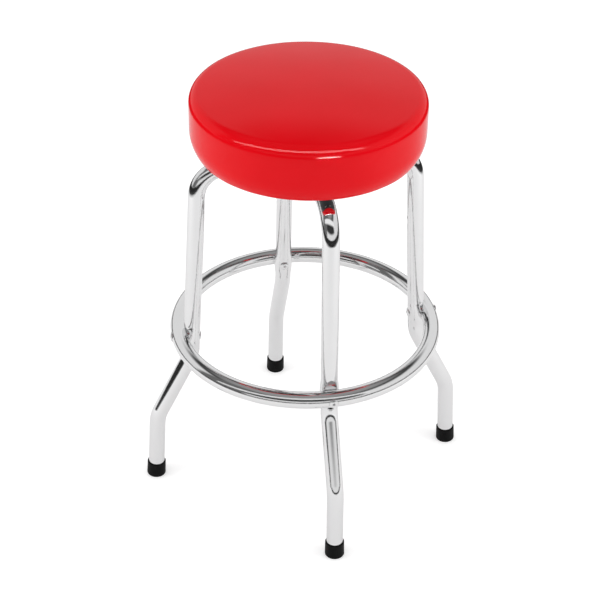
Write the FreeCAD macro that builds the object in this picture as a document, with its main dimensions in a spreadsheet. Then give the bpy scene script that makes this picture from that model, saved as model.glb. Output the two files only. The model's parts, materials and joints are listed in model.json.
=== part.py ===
import FreeCAD, Part
import math
import os
from types import SimpleNamespace

import Sketcher

# Counter stool: two bent chrome tubes cross under a round swivel seat, and a foot ring
# is bolted into saddles pressed in the four legs. Millimetres and degrees. The origin is
# on the floor below the middle of the seat, +Z is up, and a leg stands on each of the
# four horizontal axes, with the front leg on -Y.

DRIVING_SIZES = {
    # Leg tubes, measured on the tube's axis
    "tube_dia": 28.6,
    "tube_wall": 1.5,
    "rail_height": 622.0,
    "rail_bend": 50.0,
    "leg_lean": 3.03,
    "leg_ring_rad": 199.7,
    "joggle_top": 255.0,
    "joggle_base": 128.0,
    "joggle_bend": 70.0,
    "knee_rad": 264.9,
    "tube_end": 7.0,
    "vent_dia": 5.0,
    "vent_height": 493.0,
    # Pressed crossing of the two tubes
    "crush_width": 36.8,
    "crush_depth": 17.2,
    "crush_half": 24.0,
    "crush_taper": 24.0,
    # Foot ring and its saddles
    "ring_rad": 220.6,
    "ring_height": 295.4,
    "saddle_half": 24.0,
    "saddle_swell": 2.0,
    "saddle_gap": 0.05,
    "lead_in_bend": 100.0,
    "lead_in_depth": 4.5,
    # Connector bolts and sleeve nuts of the foot ring
    "ring_bolt_dia": 6.0,
    "sleeve_dia": 8.0,
    "sleeve_reach": 14.0,
    "sleeve_end": 3.0,
    "bolt_tip_room": 1.0,
    "connector_play": 0.2,
    "head_dia": 16.5,
    "head_flat_dia": 7.0,
    "head_rise": 2.0,
    "head_edge": 0.5,
    "head_edge_bend": 1.5,
    "head_crown_bend": 12.0,
    "head_skirt": 3.6,
    "nut_hollow_bend": 18.5,
    "socket_flats": 4.0,
    "socket_depth": 2.6,
    # Rubber tips
    "tip_dia": 33.6,
    "tip_height": 27.0,
    "tip_round": 2.5,
    "tip_draft": 0.5,
    "tip_trim": 0.45,
    "tip_washer_dia": 25.0,
    "tip_washer_sheet": 1.5,
    # Swivel
    "plate_side": 152.0,
    "plate_corner": 16.0,
    "plate_sheet": 2.5,
    "plate_step": 2.8,
    "bolt_circle": 88.0,
    "race_rad": 52.0,
    "race_gap": 0.05,
    "ball_dia": 8.0,
    "ball_count": 16.0,
    "cage_width": 14.0,
    "cage_sheet": 1.2,
    "cage_play": 0.15,
    "rivet_dia": 12.0,
    "rivet_head_dia": 22.0,
    "rivet_top_dia": 17.6,
    "rivet_clear": 0.2,
    "rivet_play": 0.05,
    "rivet_washer_sheet": 1.0,
    # Fasteners of the swivel
    "screw_dia": 6.0,
    "screw_play": 0.2,
    "hex_flats": 10.0,
    "hex_depth": 4.0,
    "hex_nut_depth": 5.0,
    "bolt_reach": 42.1,
    "saddle_washer_dia": 16.0,
    "saddle_washer_rim": 3.0,
    "saddle_washer_wrap": 1.8,
    "truss_dia": 13.0,
    "truss_depth": 3.0,
    "truss_edge": 1.0,
    "truss_flat_dia": 6.5,
    "screw_end_room": 1.0,
    # Seat
    "seat_dia": 386.0,
    "seat_bottom": 652.5,
    "seat_top": 762.0,
    "crown_knee": 87.0,
    "crown_fall": 8.2,
    "crown_bend": 1150.0,
    "rim_bend": 14.0,
    "side_knee": 670.0,
    "side_draw": 30.0,
    "side_bend": 60.0,
    "hem_bend": 5.0,
    "hem_rad": 151.0,
    "cover_sheet": 1.0,
    "dust_sheet": 0.8,
    "dust_rad": 166.0,
    "dust_flat_rad": 135.0,
    "dust_hem_room": 2.0,
    "board_depth": 12.0,
    "board_play": 0.3,
    "insert_dia": 7.6,
    "insert_flange_dia": 17.0,
    "insert_flange": 1.2,
    "insert_depth": 9.5,
    "cut_excess": 1.0,
}

X_AXIS = FreeCAD.Vector(1, 0, 0)
Z_AXIS = FreeCAD.Vector(0, 0, 1)
LEG_COUNT = 4
RACE_FLANK = 35.0

# A sheet that is bent by 45 degrees moves its corner back by this share of its thickness
STEP_MITRE = math.tan(math.radians(45) / 2)


class Size:
    """A number together with the spreadsheet expression that gives it."""

    def __init__(self, value, text):
        self.value = value
        self.text = text

    def __add__(self, other):
        other = as_size(other)
        return Size(self.value + other.value, "(%s + %s)" % (self.text, other.text))

    def __radd__(self, other):
        return as_size(other) + self

    def __sub__(self, other):
        other = as_size(other)
        return Size(self.value - other.value, "(%s - %s)" % (self.text, other.text))

    def __rsub__(self, other):
        return as_size(other) - self

    def __mul__(self, other):
        other = as_size(other)
        return Size(self.value * other.value, "(%s * %s)" % (self.text, other.text))

    def __rmul__(self, other):
        return as_size(other) * self

    def __truediv__(self, other):
        other = as_size(other)
        return Size(self.value / other.value, "(%s / %s)" % (self.text, other.text))

    def __neg__(self):
        return self * -1


def as_size(item):
    """Turns a plain number into a Size, and leaves a Size as it is."""
    if isinstance(item, Size):
        return item
    return Size(float(item), "(%s)" % float(item))


def tangent(angle):
    return Size(math.tan(math.radians(angle.value)), "tan(%s)" % angle.text)


def cosine(angle):
    return Size(math.cos(math.radians(angle.value)), "cos(%s)" % angle.text)


def sine(angle):
    return Size(math.sin(math.radians(angle.value)), "sin(%s)" % angle.text)


def make_sheet(doc):
    """Writes the driving sizes to a sheet, and returns them as Size values by name."""
    sheet = doc.addObject("Spreadsheet::Sheet", "Sizes")
    for row, (alias, number) in enumerate(DRIVING_SIZES.items(), start=1):
        sheet.set("A%d" % row, alias)
        sheet.set("B%d" % row, str(number))
        sheet.setAlias("B%d" % row, alias)
    doc.recompute()
    return SimpleNamespace(
        **{alias: Size(number, "Sizes." + alias) for alias, number in DRIVING_SIZES.items()}
    )


doc = FreeCAD.newDocument("counter_stool")
dim = make_sheet(doc)
nodes = []


# Helpers for bodies, sketches and features

def bind(item, name, size):
    """Sets one property of an object and ties it to the sheet."""
    size = as_size(size)
    item.setExpression(name, size.text)


def new_body(name):
    body = doc.addObject("PartDesign::Body", name)
    body.Label = name
    return body


def origin_part(body, role):
    return [feature for feature in body.Origin.OriginFeatures if feature.Role == role][0]


def new_sketch(body, name, plane, shift=(0, 0, 0), turn_axis=None, turn=None):
    """A sketch on a plane of its body's origin, moved and turned in that plane's own frame."""
    sketch = body.newObject("Sketcher::SketchObject", body.Name + "_" + name)
    sketch.AttachmentSupport = [(origin_part(body, plane), "")]
    sketch.MapMode = "FlatFace"
    sizes = [as_size(part) for part in shift]
    place = FreeCAD.Placement()
    place.Base = FreeCAD.Vector(*[size.value for size in sizes])
    if turn_axis is not None:
        place.Rotation = FreeCAD.Rotation(turn_axis, turn.value)
    sketch.AttachmentOffset = place
    for letter, size in zip("xyz", sizes):
        if size.value != 0:
            sketch.setExpression("AttachmentOffset.Base." + letter, size.text)
    if turn_axis is not None:
        sketch.setExpression("AttachmentOffset.Rotation.Angle", turn.text)
    return sketch


def constrain(sketch, size, *terms):
    """Adds a dimension to a sketch and ties it to the sheet."""
    index = sketch.addConstraint(Sketcher.Constraint(*terms, size.value))
    sketch.setExpression("Constraints[%d]" % index, size.text)


def pin_point(sketch, geometry, position, x, y):
    """Holds a sketch point at its distances from the sketch's two axes."""
    for kind, axis, distance in (("DistanceX", -2, x), ("DistanceY", -1, y)):
        if isinstance(distance, Size):
            constrain(sketch, distance, kind, -1, 1, geometry, position)
        else:
            sketch.addConstraint(Sketcher.Constraint("PointOnObject", geometry, position, axis))


def draw_circle(sketch, x, y, radius):
    middle = FreeCAD.Vector(as_size(x).value, as_size(y).value, 0)
    circle = sketch.addGeometry(Part.Circle(middle, Z_AXIS, radius.value), False)
    pin_point(sketch, circle, 3, x, y)
    constrain(sketch, radius, "Radius", circle)


def draw_oval(sketch, y, half_width, half_height):
    """An ellipse that is wider than it is high, with its middle on the sketch's Y axis."""
    middle = FreeCAD.Vector(0, as_size(y).value, 0)
    side = middle + FreeCAD.Vector(half_width.value, 0, 0)
    top = middle + FreeCAD.Vector(0, half_height.value, 0)
    oval = sketch.addGeometry(Part.Ellipse(side, top, middle), False)
    sketch.exposeInternalGeometry(oval)
    long_axis, short_axis = oval + 1, oval + 2
    pin_point(sketch, oval, 3, 0, y)
    sketch.addConstraint(Sketcher.Constraint("Horizontal", long_axis))
    constrain(sketch, half_width * 2, "Distance", long_axis, 1, long_axis, 2)
    constrain(sketch, half_height * 2, "Distance", short_axis, 1, short_axis, 2)


def bend_points(before, corner, after, radius):
    """Where a bend of a radius leaves the straight runs on the two sides of a corner."""
    inward = (before - corner).normalize()
    outward = (after - corner).normalize()
    half_angle = inward.getAngle(outward) / 2
    run = radius / math.tan(half_angle)
    middle = corner + (inward + outward).normalize() * (radius / math.sin(half_angle))
    return corner + inward * run, middle, corner + outward * run


def draw_outline(sketch, corners, closed=True):
    """Straight lines through the corners. A corner's third value is the radius of its bend."""
    count = len(corners)
    points = [FreeCAD.Vector(as_size(c[0]).value, as_size(c[1]).value, 0) for c in corners]
    bends = {}
    for index, corner in enumerate(corners):
        if len(corner) == 3:
            before, after = points[index - 1], points[(index + 1) % count]
            bends[index] = bend_points(before, points[index], after, corner[2].value)
    lines = []
    for index in range(count if closed else count - 1):
        following = (index + 1) % count
        start = bends[index][2] if index in bends else points[index]
        end = bends[following][0] if following in bends else points[following]
        lines.append(sketch.addGeometry(Part.LineSegment(start, end), False))
    for index, corner in enumerate(corners):
        line_in = lines[index - 1] if closed or index > 0 else None
        line_out = lines[index] if index < len(lines) else None
        if index in bends:
            draw_bend(sketch, corner, points[index], bends[index], line_in, line_out)
            continue
        if line_in is not None and line_out is not None:
            sketch.addConstraint(Sketcher.Constraint("Coincident", line_in, 2, line_out, 1))
        if line_out is not None:
            pin_point(sketch, line_out, 1, corner[0], corner[1])
        else:
            pin_point(sketch, line_in, 2, corner[0], corner[1])


def draw_bend(sketch, corner, point, bend, line_in, line_out):
    """Rounds one corner of an outline, and holds the corner itself at its place."""
    start, middle, end = bend
    to_start, to_end = start - middle, end - middle
    turns_left = to_start.cross(to_end).z > 0
    first, last = (to_start, to_end) if turns_left else (to_end, to_start)
    angle_first = math.atan2(first.y, first.x)
    angle_last = math.atan2(last.y, last.x)
    circle = Part.Circle(middle, Z_AXIS, to_start.Length)
    arc = sketch.addGeometry(Part.ArcOfCircle(circle, angle_first, angle_last), False)
    at_start, at_end = (1, 2) if turns_left else (2, 1)
    mark = sketch.addGeometry(Part.Point(point), True)
    pin_point(sketch, mark, 1, corner[0], corner[1])
    sketch.addConstraint(Sketcher.Constraint("PointOnObject", mark, 1, line_in))
    sketch.addConstraint(Sketcher.Constraint("PointOnObject", mark, 1, line_out))
    sketch.addConstraint(Sketcher.Constraint("Tangent", line_in, 2, arc, at_start))
    sketch.addConstraint(Sketcher.Constraint("Tangent", line_out, 1, arc, at_end))
    constrain(sketch, corner[2], "Radius", arc)


def draw_hexagon(sketch, x, flats):
    """A hexagon about a point on the sketch's X axis, with two sides square to that axis."""
    half = flats / 2
    point = flats / math.sqrt(3)
    draw_outline(sketch, [
        (x + half, point / 2),
        (x, point),
        (x - half, point / 2),
        (x - half, -point / 2),
        (x, -point),
        (x + half, -point / 2),
    ])


def pad(body, name, sketch, length, backward=False, both_ways=False):
    feature = body.newObject("PartDesign::Pad", body.Name + "_" + name)
    feature.Profile = sketch
    bind(feature, "Length", length)
    feature.Reversed = backward
    feature.Midplane = both_ways
    return feature


def pocket(body, name, sketch, length=None, backward=False, both_ways=False):
    """Cuts the sketch away to a depth, or right through where no depth is given."""
    feature = body.newObject("PartDesign::Pocket", body.Name + "_" + name)
    feature.Profile = sketch
    if length is None:
        feature.Type = "ThroughAll"
    else:
        bind(feature, "Length", length)
    feature.Reversed = backward
    feature.Midplane = both_ways
    return feature


def revolve(body, name, sketch, axis="V_Axis", kind="Revolution"):
    feature = body.newObject("PartDesign::" + kind, body.Name + "_" + name)
    feature.Profile = sketch
    feature.ReferenceAxis = (sketch, [axis])
    feature.Angle = 360
    return feature


def pipe(body, name, section, route):
    feature = body.newObject("PartDesign::AdditivePipe", body.Name + "_" + name)
    feature.Profile = section
    feature.Spine = route
    return feature


def loft(body, name, sections):
    feature = body.newObject("PartDesign::AdditiveLoft", body.Name + "_" + name)
    feature.Profile = sections[0]
    feature.Sections = sections[1:]
    return feature


def mirror(body, name, originals, plane):
    feature = body.newObject("PartDesign::Mirrored", body.Name + "_" + name)
    feature.Originals = originals
    feature.MirrorPlane = (origin_part(body, plane), [""])
    body.Tip = feature
    return feature


def around(body, name, originals, count):
    """Repeats features evenly about the stool's vertical axis."""
    feature = body.newObject("PartDesign::PolarPattern", body.Name + "_" + name)
    feature.Originals = originals
    feature.Axis = (origin_part(body, "Z_Axis"), [""])
    feature.Angle = 360
    feature.Occurrences = int(as_size(count).value)
    bind(feature, "Occurrences", count)
    body.Tip = feature
    return feature


def combine(kind, name, base, tool):
    feature = doc.addObject("Part::" + kind, name)
    feature.Base = base
    feature.Tool = tool
    feature.Label = name
    return feature


def add_node(item, turn=0.0):
    """Takes an object up as a sub-part, turned about the vertical axis to its place."""
    item.Placement = FreeCAD.Placement(FreeCAD.Vector(), FreeCAD.Rotation(Z_AXIS, turn))
    nodes.append(item)


# Sizes that several pieces share

tube_rad = dim.tube_dia / 2
lean_slope = tangent(dim.leg_lean)
rail_top = dim.rail_height + tube_rad
ring_bolt_rad = dim.ring_bolt_dia / 2
sleeve_rad = dim.sleeve_dia / 2
ring_outer = dim.ring_rad + tube_rad
leg_inner_face = dim.leg_ring_rad - tube_rad
board_bottom = dim.seat_bottom + dim.cover_sheet
dust_bottom = board_bottom - dim.dust_sheet
swivel_middle = (rail_top + dust_bottom) / 2
swivel_half = (dust_bottom - rail_top) / 2
screw_rad = dim.screw_dia / 2
screw_hole_rad = screw_rad + dim.screw_play


def leg_axis_rad(height):
    """Distance of the leg's upper straight run from the vertical axis, at a height."""
    return dim.leg_ring_rad + lean_slope * (dim.ring_height - height)


# Leg frames

def square_sketch(body, name, radius, height):
    """A sketch square to the leg's upper run, with its origin at a radius and a height."""
    square_turn = dim.leg_lean + 90
    return new_sketch(body, name, "YZ_Plane", (0, height, radius), -X_AXIS, square_turn)


def saddle_section(body, name, along, half_width, half_depth):
    """A section of the leg, a distance up the leg from the middle of its saddle."""
    sketch = square_sketch(body, name, dim.leg_ring_rad - sine(dim.leg_lean) * along,
                           dim.ring_height + cosine(dim.leg_lean) * along)
    if half_width is half_depth:
        draw_circle(sketch, 0, 0, half_width)
    else:
        draw_oval(sketch, 0, half_width, half_depth)
    return sketch


def leg_frame_solid(name, radius, inset, side, end_height):
    """One bent tube as a solid rod: crushed in the middle, with a swollen saddle in each leg.

    The inset is how far the rod lies inside the tube's outer face, and the side says
    whether the crushed part is pressed up, 1, or down, -1.
    """
    body = new_body(name)
    crush_height = dim.rail_height + tube_rad / 2 * side
    crush_half_width = dim.crush_width / 2 - inset
    crush_half_depth = dim.crush_depth / 2 - inset

    crushed = new_sketch(body, "crushed_section", "YZ_Plane", (0, 0, dim.crush_half))
    draw_oval(crushed, crush_height, crush_half_width, crush_half_depth)
    pad(body, "crushed_run", crushed, dim.crush_half * 2, backward=True)

    taper_end = dim.crush_half + dim.crush_taper
    round_end = new_sketch(body, "round_section", "YZ_Plane", (0, 0, taper_end))
    draw_circle(round_end, 0, dim.rail_height, radius)
    taper = loft(body, "taper", [crushed, round_end])

    along = dim.saddle_half
    upper = saddle_section(body, "saddle_top", along, radius, radius)
    swollen = saddle_section(body, "saddle_middle", as_size(0), radius + dim.saddle_swell, radius)
    lower = saddle_section(body, "saddle_base", -along, radius, radius)

    corner_rad = leg_axis_rad(dim.rail_height)
    route = new_sketch(body, "rail_route", "XZ_Plane")
    draw_outline(route, [
        (taper_end, dim.rail_height),
        (corner_rad, dim.rail_height, dim.rail_bend),
        (dim.leg_ring_rad - sine(dim.leg_lean) * along,
         dim.ring_height + cosine(dim.leg_lean) * along),
    ], closed=False)
    rail = pipe(body, "rail", round_end, route)

    saddle = loft(body, "saddle", [upper, swollen, lower])

    lower_route = new_sketch(body, "joggle_route", "XZ_Plane")
    draw_outline(lower_route, [
        (dim.leg_ring_rad + sine(dim.leg_lean) * along,
         dim.ring_height - cosine(dim.leg_lean) * along),
        (leg_axis_rad(dim.joggle_top), dim.joggle_top, dim.joggle_bend),
        (dim.knee_rad, dim.joggle_base, dim.joggle_bend),
        (dim.knee_rad + lean_slope * (dim.joggle_base - end_height), end_height),
    ], closed=False)
    joggle = pipe(body, "joggle", lower, lower_route)
    mirror(body, "both_legs", [taper, rail, saddle, joggle], "YZ_Plane")

    flats = new_sketch(body, "flats", "XZ_Plane")
    flat_near = dim.rail_height + inset * side
    flat_far = dim.rail_height + (tube_rad - inset) * side
    reach = dim.crush_width * side
    for inner, outer in ((flat_near, flat_near - reach), (flat_far, flat_far + reach)):
        draw_outline(flats, [
            (-dim.crush_half, inner),
            (dim.crush_half, inner),
            (dim.crush_half, outer),
            (-dim.crush_half, outer),
        ])
    pocket(body, "pressed_flats", flats, both_ways=True)
    return body


def add_torus(name, circle_rad, height, radius):
    torus = doc.addObject("Part::Torus", name)
    bind(torus, "Radius1", circle_rad)
    bind(torus, "Radius2", radius)
    bind(torus, "Placement.Base.z", height)
    return torus


def saddle_die(name, clearance):
    """What is pressed into the outer side of a leg: the ring's own shape, and a wide
    shallow lead-in above and below it."""
    ring = add_torus(name + "_ring", dim.ring_rad, dim.ring_height, tube_rad + clearance)
    offset = tube_rad + dim.lead_in_bend - dim.lead_in_depth
    lead_in = add_torus(name + "_lead_in", dim.leg_ring_rad + cosine(dim.leg_lean) * offset,
                        dim.ring_height + sine(dim.leg_lean) * offset,
                        dim.lead_in_bend + clearance)
    return combine("Fuse", name, ring, lead_in)


def leg_frame(name, side, turn):
    """A hollow leg tube with its ring saddles, bolt holes and plating vents."""
    rod = leg_frame_solid(name + "_rod", tube_rad, as_size(0), side, dim.tube_end)

    bolt_holes = new_sketch(rod, "ring_bolt_hole", "YZ_Plane")
    draw_circle(bolt_holes, 0, dim.ring_height, sleeve_rad + dim.connector_play)
    pocket(rod, "ring_bolt_holes", bolt_holes, both_ways=True)

    rail_holes = new_sketch(rod, "frame_bolt_hole", "XY_Plane")
    draw_circle(rail_holes, dim.bolt_circle, 0, screw_hole_rad)
    draw_circle(rail_holes, -dim.bolt_circle, 0, screw_hole_rad)
    pocket(rod, "frame_bolt_holes", rail_holes, both_ways=True)

    vents = new_sketch(rod, "vent", "YZ_Plane")
    draw_circle(vents, 0, dim.vent_height, dim.vent_dia / 2)
    pocket(rod, "vents", vents, leg_axis_rad(dim.vent_height) * 2, both_ways=True)

    bore = leg_frame_solid(name + "_bore", tube_rad - dim.tube_wall, dim.tube_wall, side,
                           dim.tube_end - dim.tube_wall * 2)
    hollow = combine("Cut", name + "_hollow", bore, saddle_die(name + "_wall", dim.tube_wall))
    tube = combine("Cut", name + "_tube", rod, hollow)
    frame = combine("Cut", name, tube, saddle_die(name + "_saddle", dim.saddle_gap))
    add_node(frame, turn)


leg_frame("upper_leg_frame", 1, 0.0)
leg_frame("lower_leg_frame", -1, 90.0)


# Foot ring, its bolts and nuts

def foot_ring():
    body = new_body("foot_ring")
    section = new_sketch(body, "section", "XZ_Plane")
    draw_circle(section, dim.ring_rad, dim.ring_height, tube_rad)
    draw_circle(section, dim.ring_rad, dim.ring_height, tube_rad - dim.tube_wall)
    revolve(body, "tube", section)
    for plane in ("YZ_Plane", "XZ_Plane"):
        holes = new_sketch(body, "holes_" + plane, plane)
        draw_circle(holes, 0, dim.ring_height, ring_bolt_rad + dim.connector_play)
        pocket(body, "bolt_holes_" + plane, holes, both_ways=True)
    add_node(body)


def connector_head(body, face, side):
    """A low crowned head over a tube's round face: outside the ring, side 1, or inside the
    leg, side -1."""
    head_rad = dim.head_dia / 2
    crown = face + dim.head_rise * side
    section = new_sketch(body, "head_section", "XZ_Plane", (0, dim.ring_height, 0))
    draw_outline(section, [
        (crown, 0),
        (crown, dim.head_flat_dia / 2, dim.head_crown_bend),
        (face + dim.head_edge * side, head_rad, dim.head_edge_bend),
        (face - dim.head_skirt * side, head_rad),
        (face - dim.head_skirt * side, 0),
    ])
    return revolve(body, "head", section, "H_Axis")


def connector_sockets(body, crown, backward):
    """A hexagon socket in each head."""
    hexagon = new_sketch(body, "socket_hexagon", "YZ_Plane", (0, dim.ring_height, crown))
    draw_hexagon(hexagon, 0, dim.socket_flats)
    socket = pocket(body, "socket", hexagon, dim.socket_depth, backward=backward)
    around(body, "sockets", [socket], LEG_COUNT)


def ring_bolts():
    """Connector bolts whose heads are hollowed underneath to sit on the ring's round face."""
    body = new_body("ring_bolts")
    head = connector_head(body, ring_outer, 1)
    around(body, "heads", [head], LEG_COUNT)
    seat = new_sketch(body, "seat_section", "XZ_Plane")
    draw_circle(seat, dim.ring_rad, dim.ring_height, tube_rad + dim.saddle_gap)
    revolve(body, "seats", seat, "V_Axis", "Groove")
    tip = leg_inner_face + dim.sleeve_end + dim.bolt_tip_room
    shank = new_sketch(body, "shank_section", "XZ_Plane", (0, dim.ring_height, 0))
    draw_outline(shank, [
        (tip, 0),
        (tip, ring_bolt_rad),
        (ring_outer + dim.head_edge, ring_bolt_rad),
        (ring_outer + dim.head_edge, 0),
    ])
    bolt = revolve(body, "shank", shank, "H_Axis")
    around(body, "shanks", [bolt], LEG_COUNT)
    connector_sockets(body, ring_outer + dim.head_rise, False)
    add_node(body)


def ring_nuts():
    """Sleeve nuts: heads hollowed to sit on the legs' inner faces, and sleeves in the legs."""
    body = new_body("ring_nuts")
    head = connector_head(body, leg_inner_face, -1)
    hollow_middle = leg_inner_face - dim.saddle_gap + dim.nut_hollow_bend
    leg = square_sketch(body, "leg_section", hollow_middle, dim.ring_height)
    draw_circle(leg, 0, 0, dim.nut_hollow_bend)
    hollow = pocket(body, "seat", leg, dim.saddle_half * 2, both_ways=True)
    around(body, "heads", [head, hollow], LEG_COUNT)
    section = new_sketch(body, "sleeve_section", "XZ_Plane", (0, dim.ring_height, 0))
    draw_outline(section, [
        (leg_inner_face - dim.head_edge, 0),
        (leg_inner_face - dim.head_edge, sleeve_rad),
        (leg_inner_face + dim.sleeve_reach, sleeve_rad),
        (leg_inner_face + dim.sleeve_reach, ring_bolt_rad),
        (leg_inner_face + dim.sleeve_end, ring_bolt_rad),
        (leg_inner_face + dim.sleeve_end, 0),
    ])
    sleeve = revolve(body, "sleeve", section, "H_Axis")
    around(body, "sleeves", [sleeve], LEG_COUNT)
    connector_sockets(body, leg_inner_face - dim.head_rise, True)
    add_node(body)


foot_ring()
ring_bolts()
ring_nuts()


# Rubber tips and the washers in them

def tip_sketch(body, name):
    """A sketch whose Y axis is the leg's lowest run, with its origin on the floor."""
    floor_rad = dim.knee_rad + lean_slope * dim.joggle_base
    return new_sketch(body, name, "XZ_Plane", (floor_rad, 0, 0), Z_AXIS, dim.leg_lean)


def foot_tip(name, turn):
    body = new_body(name)
    tip_rad = dim.tip_dia / 2
    tube_foot = dim.tube_end / cosine(dim.leg_lean)
    below = tip_rad * lean_slope + dim.tip_trim
    section = tip_sketch(body, "section")
    draw_outline(section, [
        (0, -below),
        (tip_rad, -below, dim.tip_round + below),
        (tip_rad - dim.tip_draft, dim.tip_height, dim.tip_draft),
        (tube_rad, dim.tip_height),
        (tube_rad, tube_foot - dim.tip_washer_sheet),
        (0, tube_foot - dim.tip_washer_sheet),
    ])
    revolve(body, "cup", section)
    floor = new_sketch(body, "floor", "XY_Plane")
    draw_circle(floor, dim.knee_rad + lean_slope * dim.joggle_base, 0, dim.tip_dia)
    pocket(body, "flat_foot", floor, dim.tip_height)
    add_node(body, turn)


def tip_washers():
    body = new_body("tip_washers")
    top = dim.tube_end / cosine(dim.leg_lean)
    section = tip_sketch(body, "section")
    draw_outline(section, [
        (0, top - dim.tip_washer_sheet),
        (dim.tip_washer_dia / 2, top - dim.tip_washer_sheet),
        (dim.tip_washer_dia / 2, top),
        (0, top),
    ])
    washer = revolve(body, "washer", section)
    around(body, "washers", [washer], LEG_COUNT)
    add_node(body)


for place, turn in (("right", 0.0), ("back", 90.0), ("left", 180.0), ("front", 270.0)):
    foot_tip("foot_tip_" + place, turn)
tip_washers()


# Swivel

def swivel_plate(name, side, hole_rad, turn):
    """A pressed square plate with a ball race: the lower one, side 1, or the upper, side -1.

    Heights are measured in from the middle of the swivel, so both plates share them.
    """
    body = new_body(name)

    def level(depth):
        return swivel_middle - depth * side

    outer = swivel_half
    inner = swivel_half - dim.plate_sheet
    raised_outer = outer - dim.plate_step
    raised_inner = inner - dim.plate_step
    flank = math.radians(RACE_FLANK)
    race_bend = dim.ball_dia / 2 + dim.race_gap
    race_point = race_bend / math.cos(flank)
    race_half = (race_point - raised_inner) / math.tan(flank)
    bump_bend = race_bend + dim.plate_sheet / 2
    bump_point = race_bend + dim.plate_sheet + bump_bend * (1 / math.cos(flank) - 1)
    bump_half = (bump_point - raised_outer) / math.tan(flank)
    step_start = dim.race_rad + dim.cage_width / 2
    step_end = step_start + dim.plate_step
    ring_edge = step_end + dim.plate_sheet * 2

    square = new_sketch(body, "square", "XY_Plane", (0, 0, level(outer)))
    half = dim.plate_side / 2
    draw_outline(square, [
        (half, half, dim.plate_corner),
        (-half, half, dim.plate_corner),
        (-half, -half, dim.plate_corner),
        (half, -half, dim.plate_corner),
    ])
    draw_circle(square, 0, 0, step_end + dim.plate_sheet)
    pad(body, "flange", square, dim.plate_sheet, backward=side < 0)

    section = new_sketch(body, "race_section", "XZ_Plane")
    draw_outline(section, [
        (hole_rad, level(raised_inner)),
        (dim.race_rad - race_half, level(raised_inner)),
        (dim.race_rad, level(race_point), race_bend),
        (dim.race_rad + race_half, level(raised_inner)),
        (step_start, level(raised_inner)),
        (step_end, level(inner)),
        (ring_edge, level(inner)),
        (ring_edge, level(outer)),
        (step_end - dim.plate_sheet * STEP_MITRE, level(outer)),
        (step_start - dim.plate_sheet * STEP_MITRE, level(raised_outer)),
        (dim.race_rad + bump_half, level(raised_outer)),
        (dim.race_rad, level(bump_point), bump_bend),
        (dim.race_rad - bump_half, level(raised_outer)),
        (hole_rad, level(raised_outer)),
    ])
    revolve(body, "race", section)

    holes = new_sketch(body, "hole", "XY_Plane")
    corner = dim.bolt_circle / math.sqrt(2)
    for x, y in ((corner, corner), (-corner, corner), (-corner, -corner), (corner, -corner)):
        draw_circle(holes, x, y, screw_hole_rad)
    pocket(body, "corner_holes", holes, both_ways=True)
    add_node(body, turn)


def swivel_rivet():
    """The rivet: one head under the base plate, the other over a washer on the top plate."""
    body = new_body("swivel_rivet")
    rad = dim.rivet_dia / 2
    head_rad = dim.rivet_head_dia / 2
    plate_face = swivel_half - dim.plate_step
    bottom = rail_top + dim.rivet_clear
    washer_top = swivel_middle + plate_face + dim.rivet_play + dim.rivet_washer_sheet
    top = dust_bottom - dim.rivet_clear
    section = new_sketch(body, "section", "XZ_Plane")
    draw_outline(section, [
        (0, bottom),
        (head_rad, bottom),
        (head_rad, swivel_middle - plate_face),
        (rad, swivel_middle - plate_face),
        (rad, washer_top),
        (dim.rivet_top_dia / 2, washer_top),
        (dim.rivet_top_dia / 2, top),
        (0, top),
    ])
    revolve(body, "rivet", section)
    add_node(body)


def rivet_washer():
    body = new_body("rivet_washer")
    bottom = swivel_middle + swivel_half - dim.plate_step + dim.rivet_play
    section = new_sketch(body, "section", "XZ_Plane")
    draw_outline(section, [
        (dim.rivet_dia / 2, bottom),
        (dim.rivet_head_dia / 2, bottom),
        (dim.rivet_head_dia / 2, bottom + dim.rivet_washer_sheet),
        (dim.rivet_dia / 2, bottom + dim.rivet_washer_sheet),
    ])
    revolve(body, "washer", section)
    add_node(body)


def ball_cage():
    body = new_body("ball_cage")
    bottom = swivel_middle - dim.cage_sheet / 2
    ring = new_sketch(body, "ring", "XY_Plane", (0, 0, bottom))
    draw_circle(ring, 0, 0, dim.race_rad + dim.cage_width / 2)
    draw_circle(ring, 0, 0, dim.race_rad - dim.cage_width / 2)
    pad(body, "sheet", ring, dim.cage_sheet)
    window = new_sketch(body, "window", "XY_Plane", (0, 0, bottom))
    draw_circle(window, dim.race_rad, 0, dim.ball_dia / 2 + dim.cage_play)
    hole = pocket(body, "window_cut", window, both_ways=True)
    around(body, "windows", [hole], dim.ball_count)
    add_node(body)


def bearing_balls():
    body = new_body("bearing_balls")
    section = new_sketch(body, "section", "XZ_Plane", (dim.race_rad, swivel_middle, 0))
    radius = dim.ball_dia / 2
    circle = Part.Circle(FreeCAD.Vector(), Z_AXIS, radius.value)
    arc = section.addGeometry(Part.ArcOfCircle(circle, -math.pi / 2, math.pi / 2), False)
    low, high = FreeCAD.Vector(0, -radius.value, 0), FreeCAD.Vector(0, radius.value, 0)
    chord = section.addGeometry(Part.LineSegment(high, low), False)
    section.addConstraint(Sketcher.Constraint("Coincident", arc, 3, -1, 1))
    section.addConstraint(Sketcher.Constraint("Coincident", arc, 2, chord, 1))
    section.addConstraint(Sketcher.Constraint("Coincident", arc, 1, chord, 2))
    section.addConstraint(Sketcher.Constraint("PointOnObject", chord, 1, -2))
    section.addConstraint(Sketcher.Constraint("PointOnObject", chord, 2, -2))
    constrain(section, radius, "Radius", arc)
    ball = revolve(body, "ball", section)
    around(body, "balls", [ball], dim.ball_count)
    add_node(body)


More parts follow.
